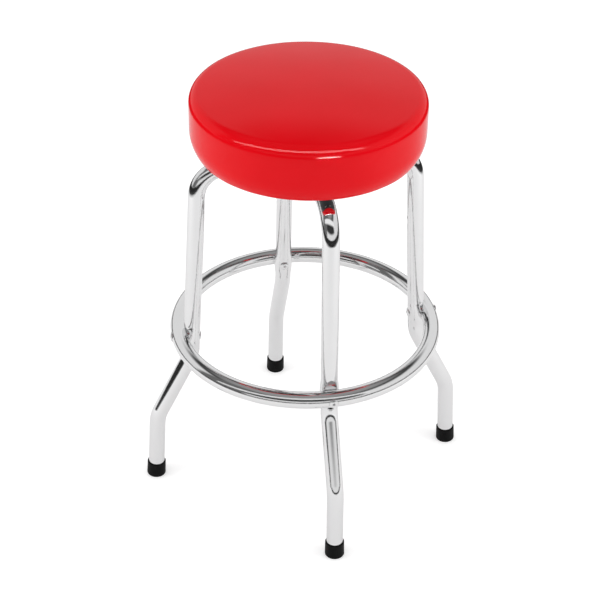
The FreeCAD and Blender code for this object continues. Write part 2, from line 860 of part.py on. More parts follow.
swivel_plate("swivel_base_plate", 1, dim.rivet_dia / 2, 45.0)
swivel_plate("swivel_top_plate", -1, dim.rivet_dia / 2 + dim.rivet_play, 0.0)
swivel_rivet()
rivet_washer()
ball_cage()
bearing_balls()


# Bolts, washers and nuts that hold the swivel to the tubes

def frame_bolts():
    body = new_body("frame_bolts")
    head_bottom = rail_top + dim.plate_sheet
    hexagon = new_sketch(body, "hexagon", "XY_Plane", (0, 0, head_bottom))
    draw_hexagon(hexagon, dim.bolt_circle, dim.hex_flats)
    head = pad(body, "head", hexagon, dim.hex_depth)
    around(body, "heads", [head], LEG_COUNT)
    circle = new_sketch(body, "circle", "XY_Plane", (0, 0, head_bottom + dim.hex_depth / 2))
    draw_circle(circle, dim.bolt_circle, 0, screw_rad)
    shank = pad(body, "shank", circle, dim.bolt_reach, backward=True)
    around(body, "shanks", [shank], LEG_COUNT)
    add_node(body)


def frame_saddle_washers():
    """Thick washers, hollowed on top to fit the underside of the tubes."""
    body = new_body("frame_saddle_washers")
    bottom = rail_top - dim.tube_dia - dim.saddle_washer_rim
    top = bottom + dim.saddle_washer_rim + dim.saddle_washer_wrap
    section = new_sketch(body, "section", "XZ_Plane", (dim.bolt_circle, 0, 0))
    draw_outline(section, [
        (screw_hole_rad, bottom),
        (dim.saddle_washer_dia / 2, bottom),
        (dim.saddle_washer_dia / 2, top),
        (screw_hole_rad, top),
    ])
    washer = revolve(body, "washer", section)
    around(body, "washers", [washer], LEG_COUNT)
    for plane in ("YZ_Plane", "XZ_Plane"):
        tube = new_sketch(body, "tube_" + plane, plane)
        draw_circle(tube, 0, dim.rail_height, tube_rad)
        pocket(body, "hollow_" + plane, tube, both_ways=True)
    add_node(body)


def frame_nuts():
    body = new_body("frame_nuts")
    top = rail_top - dim.tube_dia - dim.saddle_washer_rim
    hexagon = new_sketch(body, "hexagon", "XY_Plane", (0, 0, top))
    draw_hexagon(hexagon, dim.bolt_circle, dim.hex_flats)
    draw_circle(hexagon, dim.bolt_circle, 0, screw_rad)
    nut = pad(body, "nut", hexagon, dim.hex_nut_depth, backward=True)
    around(body, "nuts", [nut], LEG_COUNT)
    add_node(body)


frame_bolts()
frame_saddle_washers()
frame_nuts()


# Seat

def cushion_corners(inset):
    """The seat's outline from the middle of its crown down to its hem, drawn in by an inset."""
    half_fall = tangent(dim.crown_fall / 2)
    half_draw = tangent(dim.side_draw / 2)
    rim_rad = dim.seat_dia / 2 - inset
    crown_drop = inset / cosine(dim.crown_fall)
    crown_drop = crown_drop + tangent(dim.crown_fall) * (rim_rad - dim.crown_knee)
    return [
        (0, dim.seat_top - inset),
        (dim.crown_knee - inset * half_fall, dim.seat_top - inset, dim.crown_bend - inset),
        (rim_rad, dim.seat_top - crown_drop, dim.rim_bend - inset),
        (rim_rad, dim.side_knee + inset * half_draw, dim.side_bend - inset),
        (side_rad(inset, dim.seat_bottom + inset), dim.seat_bottom + inset, dim.hem_bend - inset),
    ]


def side_rad(inset, height):
    """Radius of the drawn-in lower side of the seat at a height, less an inset."""
    draw_in = tangent(dim.side_draw) * (dim.side_knee - height)
    return dim.seat_dia / 2 - inset / cosine(dim.side_draw) - draw_in


def vinyl_cover():
    body = new_body("vinyl_cover")
    section = new_sketch(body, "section", "XZ_Plane")
    outside = cushion_corners(as_size(0))
    inside = cushion_corners(dim.cover_sheet)
    hem = [(dim.hem_rad, dim.seat_bottom), (dim.hem_rad, board_bottom)]
    draw_outline(section, outside + hem + inside[::-1])
    revolve(body, "skin", section)
    add_node(body)


def foam_pad():
    body = new_body("foam_pad")
    section = new_sketch(body, "section", "XZ_Plane")
    draw_outline(section, cushion_corners(dim.cover_sheet) + [(0, board_bottom)])
    revolve(body, "block", section)
    board = new_sketch(body, "board_room", "XY_Plane", (0, 0, board_bottom))
    draw_circle(board, 0, 0, dim.seat_dia)
    pocket(body, "board_cut", board, dim.board_depth, backward=True)
    add_node(body)


def seat_board():
    body = new_body("seat_board")
    rad = side_rad(dim.cover_sheet, board_bottom) - dim.board_play
    section = new_sketch(body, "section", "XZ_Plane")
    draw_outline(section, [
        (0, board_bottom),
        (rad, board_bottom, dim.hem_bend),
        (rad, board_bottom + dim.board_depth),
        (0, board_bottom + dim.board_depth),
    ])
    revolve(body, "disc", section)
    hole = new_sketch(body, "insert_section", "XZ_Plane", (dim.bolt_circle, 0, 0))
    top = board_bottom + dim.board_depth
    draw_outline(hole, [
        (0, board_bottom - dim.cut_excess),
        (dim.insert_dia / 2, board_bottom - dim.cut_excess),
        (dim.insert_dia / 2, top - dim.insert_flange),
        (dim.insert_flange_dia / 2, top - dim.insert_flange),
        (dim.insert_flange_dia / 2, top + dim.cut_excess),
        (0, top + dim.cut_excess),
    ])
    recess = revolve(body, "insert_hole", hole, "V_Axis", "Groove")
    around(body, "insert_holes", [recess], LEG_COUNT)
    add_node(body, 45.0)


def t_nuts():
    """Flanged inserts let into the top of the board."""
    body = new_body("t_nuts")
    top = board_bottom + dim.board_depth
    section = new_sketch(body, "section", "XZ_Plane", (dim.bolt_circle, 0, 0))
    draw_outline(section, [
        (screw_rad, top - dim.insert_depth),
        (dim.insert_dia / 2, top - dim.insert_depth),
        (dim.insert_dia / 2, top - dim.insert_flange),
        (dim.insert_flange_dia / 2, top - dim.insert_flange),
        (dim.insert_flange_dia / 2, top),
        (screw_rad, top),
    ])
    insert = revolve(body, "insert", section)
    around(body, "inserts", [insert], LEG_COUNT)
    add_node(body, 45.0)


def seat_screws():
    """Truss head screws, driven up through the top plate into the inserts."""
    body = new_body("seat_screws")
    face = dust_bottom - dim.plate_sheet
    section = new_sketch(body, "section", "XZ_Plane", (dim.bolt_circle, 0, 0))
    draw_outline(section, [
        (0, face - dim.truss_depth),
        (dim.truss_flat_dia / 2, face - dim.truss_depth, dim.truss_depth),
        (dim.truss_dia / 2, face - dim.truss_edge),
        (dim.truss_dia / 2, face),
        (screw_rad, face),
        (screw_rad, board_bottom + dim.board_depth - dim.screw_end_room),
        (0, board_bottom + dim.board_depth - dim.screw_end_room),
    ])
    screw = revolve(body, "screw", section)
    around(body, "screws", [screw], LEG_COUNT)
    add_node(body, 45.0)


def dust_cover():
    """Thin cloth under the seat: flat against the board, then over the vinyl's hem."""
    body = new_body("dust_cover")
    section = new_sketch(body, "section", "XZ_Plane")
    low = dim.seat_bottom - dim.dust_sheet
    draw_outline(section, [
        (0, dust_bottom),
        (dim.dust_flat_rad, dust_bottom),
        (dim.hem_rad - dim.dust_hem_room, low),
        (dim.dust_rad, low),
        (dim.dust_rad, dim.seat_bottom),
        (dim.hem_rad - dim.dust_hem_room, dim.seat_bottom),
        (dim.dust_flat_rad, board_bottom),
        (0, board_bottom),
    ])
    revolve(body, "cloth", section)
    hole = new_sketch(body, "hole", "XY_Plane")
    draw_circle(hole, dim.bolt_circle, 0, screw_hole_rad)
    cut = pocket(body, "screw_hole", hole, both_ways=True)
    around(body, "screw_holes", [cut], LEG_COUNT)
    add_node(body, 45.0)


vinyl_cover()
foam_pad()
seat_board()
t_nuts()
seat_screws()
dust_cover()


def check_and_write():
    """Stops on any failed object, then writes one file for each sub-part."""
    doc.recompute()
    for item in doc.Objects:
        if "Invalid" in item.State or "Error" in item.State:
            raise RuntimeError("%s failed: %s" % (item.Name, item.State))
    for item in nodes:
        if item.Shape.isNull() or not item.Shape.isValid():
            raise RuntimeError("%s has no valid shape" % item.Label)
    os.makedirs("parts", exist_ok=True)
    for item in nodes:
        item.Shape.exportStep("parts/%s.step" % item.Label)
        print("%-22s %2d solids %12.1f mm3" % (item.Label, len(item.Shape.Solids), item.Shape.Volume))


check_and_write()
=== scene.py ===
import json
import math

import bpy
from mathutils import Matrix, Vector, noise


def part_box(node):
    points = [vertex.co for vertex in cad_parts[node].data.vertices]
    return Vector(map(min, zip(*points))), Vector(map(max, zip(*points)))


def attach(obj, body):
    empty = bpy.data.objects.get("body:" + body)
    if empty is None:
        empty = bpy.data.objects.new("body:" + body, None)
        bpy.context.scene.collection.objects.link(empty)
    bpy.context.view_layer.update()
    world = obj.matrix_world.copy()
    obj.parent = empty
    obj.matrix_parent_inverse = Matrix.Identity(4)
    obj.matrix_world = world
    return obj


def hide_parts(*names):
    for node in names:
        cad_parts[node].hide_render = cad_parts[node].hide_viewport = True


# Counter stool in its finished look. Metres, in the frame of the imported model: the origin is
# on the floor below the middle of the seat, +Z is up and the front leg is on -Y.

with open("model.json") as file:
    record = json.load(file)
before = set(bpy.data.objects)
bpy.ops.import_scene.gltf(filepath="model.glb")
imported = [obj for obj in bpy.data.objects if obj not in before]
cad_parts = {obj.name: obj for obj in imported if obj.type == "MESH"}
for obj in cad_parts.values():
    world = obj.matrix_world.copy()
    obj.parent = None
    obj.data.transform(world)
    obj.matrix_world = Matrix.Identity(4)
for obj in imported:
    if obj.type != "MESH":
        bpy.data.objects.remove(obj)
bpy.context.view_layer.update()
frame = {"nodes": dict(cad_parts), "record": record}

nodes = frame["nodes"]
scene = bpy.context.scene
scene.view_settings.view_transform = "Standard"


# Camera, at the photograph's viewing angle

AZIMUTH = math.radians(-11.926)
ELEVATION = math.radians(34.285)
ROLL = math.radians(0.822)
DISTANCE = 2.9329
TARGET_HEIGHT = 0.3437
TARGET_ASIDE = -0.00925
IMAGE_WIDTH = 600
FOCAL_PIXELS = 1692.92
SENSOR = 36.0


def direction(azimuth, elevation):
    """The way from the object to something at these angles, with azimuth 0 on -Y."""
    return Vector((
        math.sin(azimuth) * math.cos(elevation),
        -math.cos(azimuth) * math.cos(elevation),
        math.sin(elevation),
    ))


def upward(height):
    return Vector((0, 0, height))


def make_camera():
    back = direction(AZIMUTH, ELEVATION)
    right = Vector((math.cos(AZIMUTH), math.sin(AZIMUTH), 0))
    up = back.cross(right)
    rolled_right = right * math.cos(ROLL) + up * math.sin(ROLL)
    rolled_up = up * math.cos(ROLL) - right * math.sin(ROLL)
    place = upward(TARGET_HEIGHT) + right * TARGET_ASIDE + back * DISTANCE
    data = bpy.data.cameras.new("camera")
    data.sensor_width = SENSOR
    data.lens = FOCAL_PIXELS / IMAGE_WIDTH * SENSOR
    camera = bpy.data.objects.new("camera", data)
    turn = Matrix((rolled_right, rolled_up, back)).transposed()
    camera.matrix_world = Matrix.Translation(place) @ turn.to_4x4()
    scene.collection.objects.link(camera)
    scene.camera = camera


make_camera()


# Sizes that the soft pieces share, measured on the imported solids

seat_low, seat_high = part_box("vinyl_cover")
board_low, board_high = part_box("seat_board")
cloth_low, cloth_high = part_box("dust_cover")
SEAT_RAD = (seat_high.x - seat_low.x) / 2
SEAT_TOP = seat_high.z
SEAT_BOTTOM = seat_low.z
BOARD_BOTTOM = board_low.z
BOARD_TOP = board_high.z
CLOTH_RAD = (cloth_high.x - cloth_low.x) / 2

# The seat's outline: a low crown, a rounded rim and a side that draws in towards the board
CROWN_KNEE = 0.087
CROWN_FALL = math.tan(math.radians(8.2))
CROWN_BEND = 1.15
RIM_BEND = 0.018
SIDE_KNEE = 0.67
SIDE_DRAW = math.tan(math.radians(30))
SIDE_BEND = 0.06
HEM_BEND = 0.005
HEM_RAD = 0.151


# Meshes in code

BEND_STEP = math.radians(9)


def bend_points(before, corner, after, radius, spacing):
    """Points on an arc that rounds a corner, close enough together to look smooth."""
    inward = (before - corner).normalized()
    outward = (after - corner).normalized()
    half_angle = inward.angle(outward) / 2
    run = radius / math.tan(half_angle)
    start, end = corner + inward * run, corner + outward * run
    middle = corner + (inward + outward).normalized() * (radius / math.sin(half_angle))
    turn = math.pi - 2 * half_angle
    count = max(3, math.ceil(turn * radius / spacing), math.ceil(turn / BEND_STEP))
    first, last = start - middle, end - middle
    points = []
    for step in range(count + 1):
        share = step / count
        points.append(middle + (first * math.sin(turn * (1 - share))
                                + last * math.sin(turn * share)) / math.sin(turn))
    return points


def outline_points(corners, spacing):
    """Points along an outline. A corner is (radius, height) and may have a bend's radius."""
    flat = [Vector(corner[:2]) for corner in corners]
    knots = []
    for index, corner in enumerate(corners):
        if len(corner) == 3:
            knots += bend_points(flat[index - 1], flat[index], flat[index + 1], corner[2], spacing)
        else:
            knots.append(flat[index])
    points = [knots[0]]
    for start, end in zip(knots, knots[1:]):
        count = max(1, math.ceil((end - start).length / spacing))
        points += [start.lerp(end, step / count) for step in range(1, count + 1)]
    return points


def mesh_piece(name, vertices, faces, smooth=True):
    mesh = bpy.data.meshes.new(name)
    mesh.from_pydata(vertices, [], faces)
    mesh.validate()
    mesh.polygons.foreach_set("use_smooth", [smooth] * len(mesh.polygons))
    piece = bpy.data.objects.new(name, mesh)
    scene.collection.objects.link(piece)
    return piece


def turned_piece(name, points, steps, shape):
    """A closed piece turned about the Z axis. Its outline starts and ends on the axis, and
    shape moves each point: it gets the point and its angle."""
    vertices = []
    for point in points[1:-1]:
        for step in range(steps):
            angle = math.tau * step / steps
            place = Vector((point.x * math.cos(angle), point.x * math.sin(angle), point.y))
            vertices.append(shape(place, angle))
    rows = len(points) - 2
    faces = []
    for row in range(rows - 1):
        for step in range(steps):
            following = (step + 1) % steps
            faces.append((row * steps + step, (row + 1) * steps + step,
                          (row + 1) * steps + following, row * steps + following))
    first, last = len(vertices), len(vertices) + 1
    vertices += [upward(points[0].y), upward(points[-1].y)]
    for step in range(steps):
        following = (step + 1) % steps
        faces.append((first, step, following))
        faces.append((last, (rows - 1) * steps + following, (rows - 1) * steps + step))
    return mesh_piece(name, vertices, faces)


def ramp(value, start, end):
    """Rises smoothly from 0 to 1 as the value goes from start to end."""
    share = min(1, max(0, (value - start) / (end - start)))
    return share * share * (3 - 2 * share)


def outward_way(angle):
    """The level way out from the axis at an angle."""
    return Vector((math.cos(angle), math.sin(angle), 0))


# Materials

def new_material(name, **inputs):
    """A material and its tree and shader, with the shader's plain inputs set by name."""
    material = bpy.data.materials.new(name)
    material.use_nodes = True
    shader = material.node_tree.nodes["Principled BSDF"]
    for key, value in inputs.items():
        shader.inputs[key.replace("_", " ")].default_value = value
    return material, material.node_tree, shader


def add_node(tree, kind, inputs=None, **settings):
    """A shader node with its settings, its inputs' plain values and what is linked in."""
    node = tree.nodes.new("ShaderNode" + kind)
    for key, value in settings.items():
        setattr(node, key, value)
    for key, value in (inputs or {}).items():
        if isinstance(value, bpy.types.NodeSocket):
            tree.links.new(value, node.inputs[key])
        else:
            node.inputs[key].default_value = value
    return node


def math_node(tree, operation, first, second):
    return add_node(tree, "Math", {0: first, 1: second}, operation=operation).outputs[0]


def vector_node(tree, operation, *inputs):
    return add_node(tree, "VectorMath", dict(enumerate(inputs)), operation=operation).outputs


def places(tree):
    return add_node(tree, "TexCoord").outputs["Object"]


def noise_value(tree, scale, detail=3.0, distortion=0.0, stretch=None):
    """Noise over the object, stretched along its axes where asked."""
    place = places(tree)
    if stretch:
        place = add_node(tree, "Mapping", {"Vector": place, "Scale": stretch}).outputs[0]
    texture = add_node(tree, "TexNoise", {
        "Vector": place, "Scale": scale, "Detail": detail, "Distortion": distortion,
    })
    return texture.outputs["Fac"]


def map_value(tree, value, low, high, start=0.3, end=0.7, **settings):
    """Spreads a value that runs from start to end over low to high."""
    inputs = {"Value": value, "From Min": start, "From Max": end, "To Min": low, "To Max": high}
    return add_node(tree, "MapRange", inputs, **settings).outputs["Result"]


def blend_colors(tree, share, first, second):
    inputs = {"Factor": share, "A": (*first, 1), "B": (*second, 1)}
    return add_node(tree, "Mix", inputs, data_type="RGBA").outputs["Result"]


def link_looks(tree, shader, **sockets):
    """Links sockets to the shader's inputs by name."""
    for key, socket in sockets.items():
        tree.links.new(socket, shader.inputs[key.replace("_", " ")])


def add_bump(tree, shader, height, distance, strength=1.0, before=None):
    """Bumps the shader's surface, on top of what was there before."""
    inputs = {"Height": height, "Distance": distance, "Strength": strength}
    if before:
        inputs["Normal"] = before
    bump = add_node(tree, "Bump", inputs).outputs[0]
    link_looks(tree, shader, Normal=bump)
    return bump


def red_vinyl():
    """Glossy upholstery vinyl: a thin clear top coat over a smooth, barely grained sheet."""
    material, tree, shader = new_material(
        "red_vinyl", IOR=1.17, Coat_Weight=0.12, Coat_Roughness=0.03, Coat_IOR=1.5)
    tone = map_value(tree, noise_value(tree, scale=9.0), 0, 1)
    color = blend_colors(tree, tone, (0.71, 0.0022, 0.0060), (0.75, 0.0030, 0.0085))
    rough = map_value(tree, noise_value(tree, scale=35.0, detail=4.0), 0.07, 0.12)
    link_looks(tree, shader, Base_Color=color, Roughness=rough)
    grain = noise_value(tree, scale=1100.0, detail=2.0)
    grain = add_bump(tree, shader, grain, distance=0.00002, strength=0.25)
    dents = noise_value(tree, scale=18.0, detail=1.0)
    add_bump(tree, shader, dents, distance=0.0004, strength=0.12, before=grain)
    return material


PRESSED_EDGE = 0.0035
CLOUDED_SHARE = 0.965
CHROME_POLISH = 0.04


def chrome(name, tint, smear):
    """Bright plating with faint waves, soft smears and the rounded edges of pressed tube."""
    material, tree, shader = new_material(name, Metallic=1.0)
    patches = map_value(tree, noise_value(tree, scale=14.0, detail=4.0, distortion=0.4), 0, 1)
    color = blend_colors(tree, patches, tint, tuple(level * CLOUDED_SHARE for level in tint))
    smears = noise_value(tree, scale=60.0, detail=6.0, distortion=1.5)
    rough = map_value(tree, smears, CHROME_POLISH, smear, start=0.42, end=0.75)
    link_looks(tree, shader, Base_Color=color, Roughness=rough)
    softened = add_node(tree, "Bevel", {"Radius": PRESSED_EDGE}, samples=6).outputs[0]
    waves = noise_value(tree, scale=45.0, detail=2.0)
    add_bump(tree, shader, waves, distance=0.00012, strength=0.12, before=softened)
    return material


def rubber():
    """Moulded black rubber, matt, with a fine pitted skin and a dusty bloom."""
    material, tree, shader = new_material("black_rubber", Specular_IOR_Level=0.12)
    bloom = map_value(tree, noise_value(tree, scale=90.0, detail=5.0, distortion=0.6), 0, 1)
    color = blend_colors(tree, bloom, (0.0008, 0.0008, 0.0009), (0.003, 0.003, 0.0032))
    rough = map_value(tree, noise_value(tree, scale=160.0), 0.42, 0.6)
    link_looks(tree, shader, Base_Color=color, Roughness=rough)
    pits = noise_value(tree, scale=1400.0, detail=4.0)
    add_bump(tree, shader, pits, distance=0.00006, strength=0.5)
    return material


def black_enamel():
    """Sprayed black enamel with a slight orange peel."""
    material, tree, shader = new_material("black_plate", Coat_Weight=0.2, Coat_Roughness=0.2)
    tone = map_value(tree, noise_value(tree, scale=50.0, detail=5.0), 0, 1)
    color = blend_colors(tree, tone, (0.009, 0.009, 0.0095), (0.02, 0.02, 0.021))
    rough = map_value(tree, noise_value(tree, scale=120.0), 0.3, 0.45)
    link_looks(tree, shader, Base_Color=color, Roughness=rough)
    peel = noise_value(tree, scale=420.0, detail=2.0)
    add_bump(tree, shader, peel, distance=0.00008, strength=0.35)
    return material


def plated_steel(name, first, second, low, high):
    """Dull plated or bare steel, with fine turning marks and uneven colour."""
    material, tree, shader = new_material(name, Metallic=1.0)
    tone = map_value(tree, noise_value(tree, scale=220.0, detail=5.0, distortion=1.0), 0, 1)
    color = blend_colors(tree, tone, first, second)
    rough = map_value(tree, noise_value(tree, scale=500.0), low, high)
    link_looks(tree, shader, Base_Color=color, Roughness=rough)
    marks = noise_value(tree, scale=900.0, detail=2.0, stretch=(0.25, 0.25, 3.0))
    add_bump(tree, shader, marks, distance=0.00003, strength=0.4)
    return material


def plywood():
    """Rotary-cut plywood: long uneven grain on the faces, thin plies across the edge."""
    material, tree, shader = new_material("plywood")
    rings = noise_value(tree, scale=22.0, detail=6.0, distortion=0.8, stretch=(0.35, 4.0, 1.0))
    plies = add_node(tree, "TexWave", {
        "Vector": places(tree), "Scale": 110.0, "Distortion": 0.6, "Detail": 2.0,
    }, bands_direction="Z")
    plies = map_value(tree, plies.outputs["Fac"], 0.75, 1.2, start=0, end=1)
    both = math_node(tree, "MULTIPLY", rings, plies)
    share = map_value(tree, both, 0, 1, start=0.3, end=0.75)
    color = blend_colors(tree, share, (0.46, 0.30, 0.16), (0.74, 0.57, 0.37))
    link_looks(tree, shader, Base_Color=color, Roughness=map_value(tree, rings, 0.6, 0.8))
    add_bump(tree, shader, rings, distance=0.0002, strength=0.4)
    return material


def foam():
    """Open-cell foam, cream and matt, with pores."""
    material, tree, shader = new_material("foam", Roughness=0.95, Sheen_Weight=0.1)
    cells = add_node(tree, "TexVoronoi", {"Vector": places(tree), "Scale": 650.0})
    cells = cells.outputs["Distance"]
    share = map_value(tree, cells, 0, 1, start=0.1, end=0.7)
    color = blend_colors(tree, share, (0.58, 0.52, 0.34), (0.82, 0.77, 0.58))
    link_looks(tree, shader, Base_Color=color)
    add_bump(tree, shader, cells, distance=0.0006, strength=0.6)
    return material


def black_cloth():
    """Non-woven black cloth: matted fibres with a grid of small bonded spots."""
    material, tree, shader = new_material("black_cloth", Sheen_Weight=0.15, Sheen_Roughness=0.5)
    fibres = noise_value(tree, scale=700.0, detail=6.0, distortion=2.5, stretch=(1.0, 0.3, 1.0))
    spots = add_node(tree, "TexVoronoi", {
        "Vector": places(tree), "Scale": 420.0, "Randomness": 0.15,
    }, distance="CHEBYCHEV")
    spots = map_value(tree, spots.outputs["Distance"], 0.55, 1.0, start=0.1, end=0.35)
    both = math_node(tree, "MULTIPLY", fibres, spots)
    share = map_value(tree, both, 0, 1, start=0.25, end=0.6)
    color = blend_colors(tree, share, (0.008, 0.008, 0.009), (0.035, 0.035, 0.037))
    link_looks(tree, shader, Base_Color=color, Roughness=map_value(tree, fibres, 0.75, 0.95))
    add_bump(tree, shader, both, distance=0.00025, strength=0.7)
    return material


materials = {
    "red_vinyl": red_vinyl(),
    "foam": foam(),
    "plywood": plywood(),
    "black_cloth": black_cloth(),
    "zinc": plated_steel("zinc", (0.60, 0.59, 0.55), (0.70, 0.69, 0.66), 0.28, 0.42),
    "black_plate": black_enamel(),
    "bare_steel": plated_steel("bare_steel", (0.42, 0.42, 0.41), (0.54, 0.54, 0.53), 0.25, 0.4),
    "ball_steel": chrome("ball_steel", (0.62, 0.62, 0.63), 0.12),
    "chrome_tube": chrome("chrome_tube", (0.85, 0.85, 0.855), 0.10),
    "chrome_dome": chrome("chrome_dome", (0.83, 0.83, 0.835), 0.12),
    "black_rubber": rubber(),
}


def dress_nodes():
    """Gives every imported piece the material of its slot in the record."""
    for part in frame["record"]["subparts"]:
        for slot in nodes[part["node"]].material_slots:
            slot.material = materials[part["material_slot"]]


dress_nodes()


# Seat: cover, foam, dust cover and staples

def side_rad(height):
    """Radius of the seat's drawn-in side at a height."""
    return SEAT_RAD - SIDE_DRAW * (SIDE_KNEE - height)


def cushion_corners(inset, bottom):
    """The seat's outline from the middle of its crown to its bottom, drawn in by an inset."""
    rim = SEAT_RAD - inset
    return [
        (0, SEAT_TOP - inset),
        (CROWN_KNEE, SEAT_TOP - inset, CROWN_BEND - inset),
        (rim, SEAT_TOP - inset - CROWN_FALL * (rim - CROWN_KNEE), RIM_BEND - inset),
        (rim, SIDE_KNEE, SIDE_BEND - inset),
        (side_rad(bottom) - inset, bottom, HEM_BEND - inset),
    ]


COVER_SHEET = 0.001
COVER_STEPS = 360
COVER_SPACING = 0.0034
LUMP_SCALE = 10.5
LUMP_SIZE = 0.0007
LUMP_SIDE_START = SEAT_RAD - RIM_BEND * 1.4
LUMP_SIDE_END = SEAT_RAD - RIM_BEND * 0.3
PULL_COUNT = 46
PULL_SIZE = 0.00035
PULL_SCALE_UP = 12
PLEAT_COUNT = 62
PLEAT_SIZE = 0.0006
PLEAT_START = side_rad(SEAT_BOTTOM) - HEM_BEND
PLEAT_RUN = 0.012
PLEAT_TOP = BOARD_BOTTOM - 0.0003
PLEAT_SEED = 5


def cover_shape(place, angle):
    """Small unevenness of a stretched cover: soft lumps over the foam, faint pulls above the
    lower edge, and pleats where it is gathered under the board."""
    outward = outward_way(angle)
    radius = math.hypot(place.x, place.y)
    lump = LUMP_SIZE * noise.noise(place * LUMP_SCALE) * ramp(place.z, SEAT_BOTTOM, SIDE_KNEE)
    on_side = ramp(radius, LUMP_SIDE_START, LUMP_SIDE_END)
    place = place + outward * lump * on_side
    place.z += lump * (1 - on_side) * ramp(SEAT_RAD - radius, 0, RIM_BEND)
    pull = noise.noise(outward * PULL_COUNT / math.tau + upward(place.z * PULL_SCALE_UP))
    near_edge = ramp(SIDE_KNEE - place.z, 0, SIDE_KNEE - SEAT_BOTTOM)
    place = place + outward * pull * PULL_SIZE * near_edge
    if radius < PLEAT_START and place.z < PLEAT_TOP:
        fold = abs(noise.noise(outward * PLEAT_COUNT / math.tau + upward(PLEAT_SEED)))
        place.z += PLEAT_SIZE * fold * ramp(PLEAT_START - radius, 0, PLEAT_RUN)
    return place


def make_cover():
    outside = cushion_corners(0, SEAT_BOTTOM) + [(HEM_RAD, SEAT_BOTTOM)]
    inside = cushion_corners(COVER_SHEET, SEAT_BOTTOM + COVER_SHEET)
    inside += [(HEM_RAD, SEAT_BOTTOM + COVER_SHEET)]
    points = outline_points(outside, COVER_SPACING)
    points += outline_points(inside, COVER_SPACING * 2)[::-1]
    cover = turned_piece("vinyl_seat_cover", points, COVER_STEPS, cover_shape)
    cover.data.materials.append(materials["red_vinyl"])
    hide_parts("vinyl_cover")
    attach(cover, "seat")
    return cover


FOAM_INSET = 0.0016
FOAM_FOOT_INSET = 0.001
FOAM_STEPS = 180
FOAM_SPACING = 0.006
CUT_SCALE = 30
CUT_SIZE = 0.0006
CUT_RADII = (0.1, 0.15)


def foam_shape(place, angle):
    """A hand-cut block: its side is a little uneven."""
    cut = CUT_SIZE * noise.noise(place * CUT_SCALE) - CUT_SIZE / 2
    return place + outward_way(angle) * cut * ramp(math.hypot(place.x, place.y), *CUT_RADII)


def make_foam():
    outline = cushion_corners(FOAM_INSET, SEAT_BOTTOM) + [(HEM_RAD, SEAT_BOTTOM)]
    points = [point for point in outline_points(outline, FOAM_SPACING) if point.y > BOARD_TOP]
    foot = [(points[-1].x - FOAM_FOOT_INSET, BOARD_TOP), (0, BOARD_TOP)]
    points += outline_points(foot, FOAM_SPACING)
    block = turned_piece("foam_block", points, FOAM_STEPS, foam_shape)
    block.data.materials.append(materials["foam"])
    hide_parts("foam_pad")
    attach(block, "seat")


STAPLE_COUNT = 30
STAPLE_RAD = 0.1585
STAPLE_LENGTH = 0.0115
STAPLE_WIRE = 0.0009
STAPLE_LEG = 0.005
STAPLE_BEND = 0.0008
STAPLE_SINK = STAPLE_WIRE * 0.55
STAPLE_FLATNESS = 0.6
STAPLE_EDGE = STAPLE_WIRE * 0.2
STAPLE_WANDER = 0.25
STAPLE_SLANT = 0.16


def staple_angle(index):
    """Staples are driven by hand, so their spacing wanders a little."""
    wander = STAPLE_WANDER * noise.noise(Vector((index * 1.7, 3.1, 0.4)))
    return math.tau * (index + wander) / STAPLE_COUNT


CLOTH_SHEET = 0.0007
CLOTH_STEPS = 300
CLOTH_SPACING = 0.004
CLOTH_FLAT_RAD = 0.135
CLOTH_HEM_RAD = HEM_RAD - 0.002
CLOTH_EDGE_RAD = CLOTH_RAD - 0.001
SLACK_DROP = 0.0006
SLACK_SCALE = 9
SLACK_RUN = 0.014
SLACK_RADII = (0.146, 0.156)
SAG_DROP = 0.0006
SAG_SCALE = 28
SAG_RADII = (0.085, 0.11)
SAG_END, SAG_RUN = 0.15, 0.03
HAND_CUT = 0.0007
HAND_CUT_SCALE = 14
HAND_CUT_RADII = (0.15, 0.166)


def cloth_shape(place, angle):
    """Cloth pulled down at each staple, slack between them, with an edge cut by hand."""
    radius = math.hypot(place.x, place.y)
    outward = outward_way(angle)
    nearest = min(abs((angle - staple_angle(i) + math.pi) % math.tau - math.pi)
                  for i in range(STAPLE_COUNT))
    slack = ramp(nearest * STAPLE_RAD, 0, SLACK_RUN) * ramp(radius, *SLACK_RADII)
    place.z -= SLACK_DROP * slack * (0.7 + 0.6 * noise.noise(outward * SLACK_SCALE))
    sag = ramp(radius, *SAG_RADII) * ramp(SAG_END - radius, 0, SAG_RUN)
    place.z -= SAG_DROP * sag * (1 + noise.noise(place * SAG_SCALE))
    cut = HAND_CUT * noise.noise(outward * HAND_CUT_SCALE) * ramp(radius, *HAND_CUT_RADII)
    return place + outward * cut


def make_dust_cover():
    low = SEAT_BOTTOM - CLOTH_SHEET
    flat = BOARD_BOTTOM - CLOTH_SHEET
    under = [(0, flat), (CLOTH_FLAT_RAD, flat), (CLOTH_HEM_RAD, low), (CLOTH_EDGE_RAD, low)]
    over = [(radius, height + CLOTH_SHEET) for radius, height in under][::-1]
    points = outline_points(under, CLOTH_SPACING) + outline_points(over, CLOTH_SPACING)
    cloth = turned_piece("dust_cover_cloth", points[::-1], CLOTH_STEPS, cloth_shape)
    cloth.data.materials.append(materials["black_cloth"])
    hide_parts("dust_cover")
    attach(cloth, "seat")


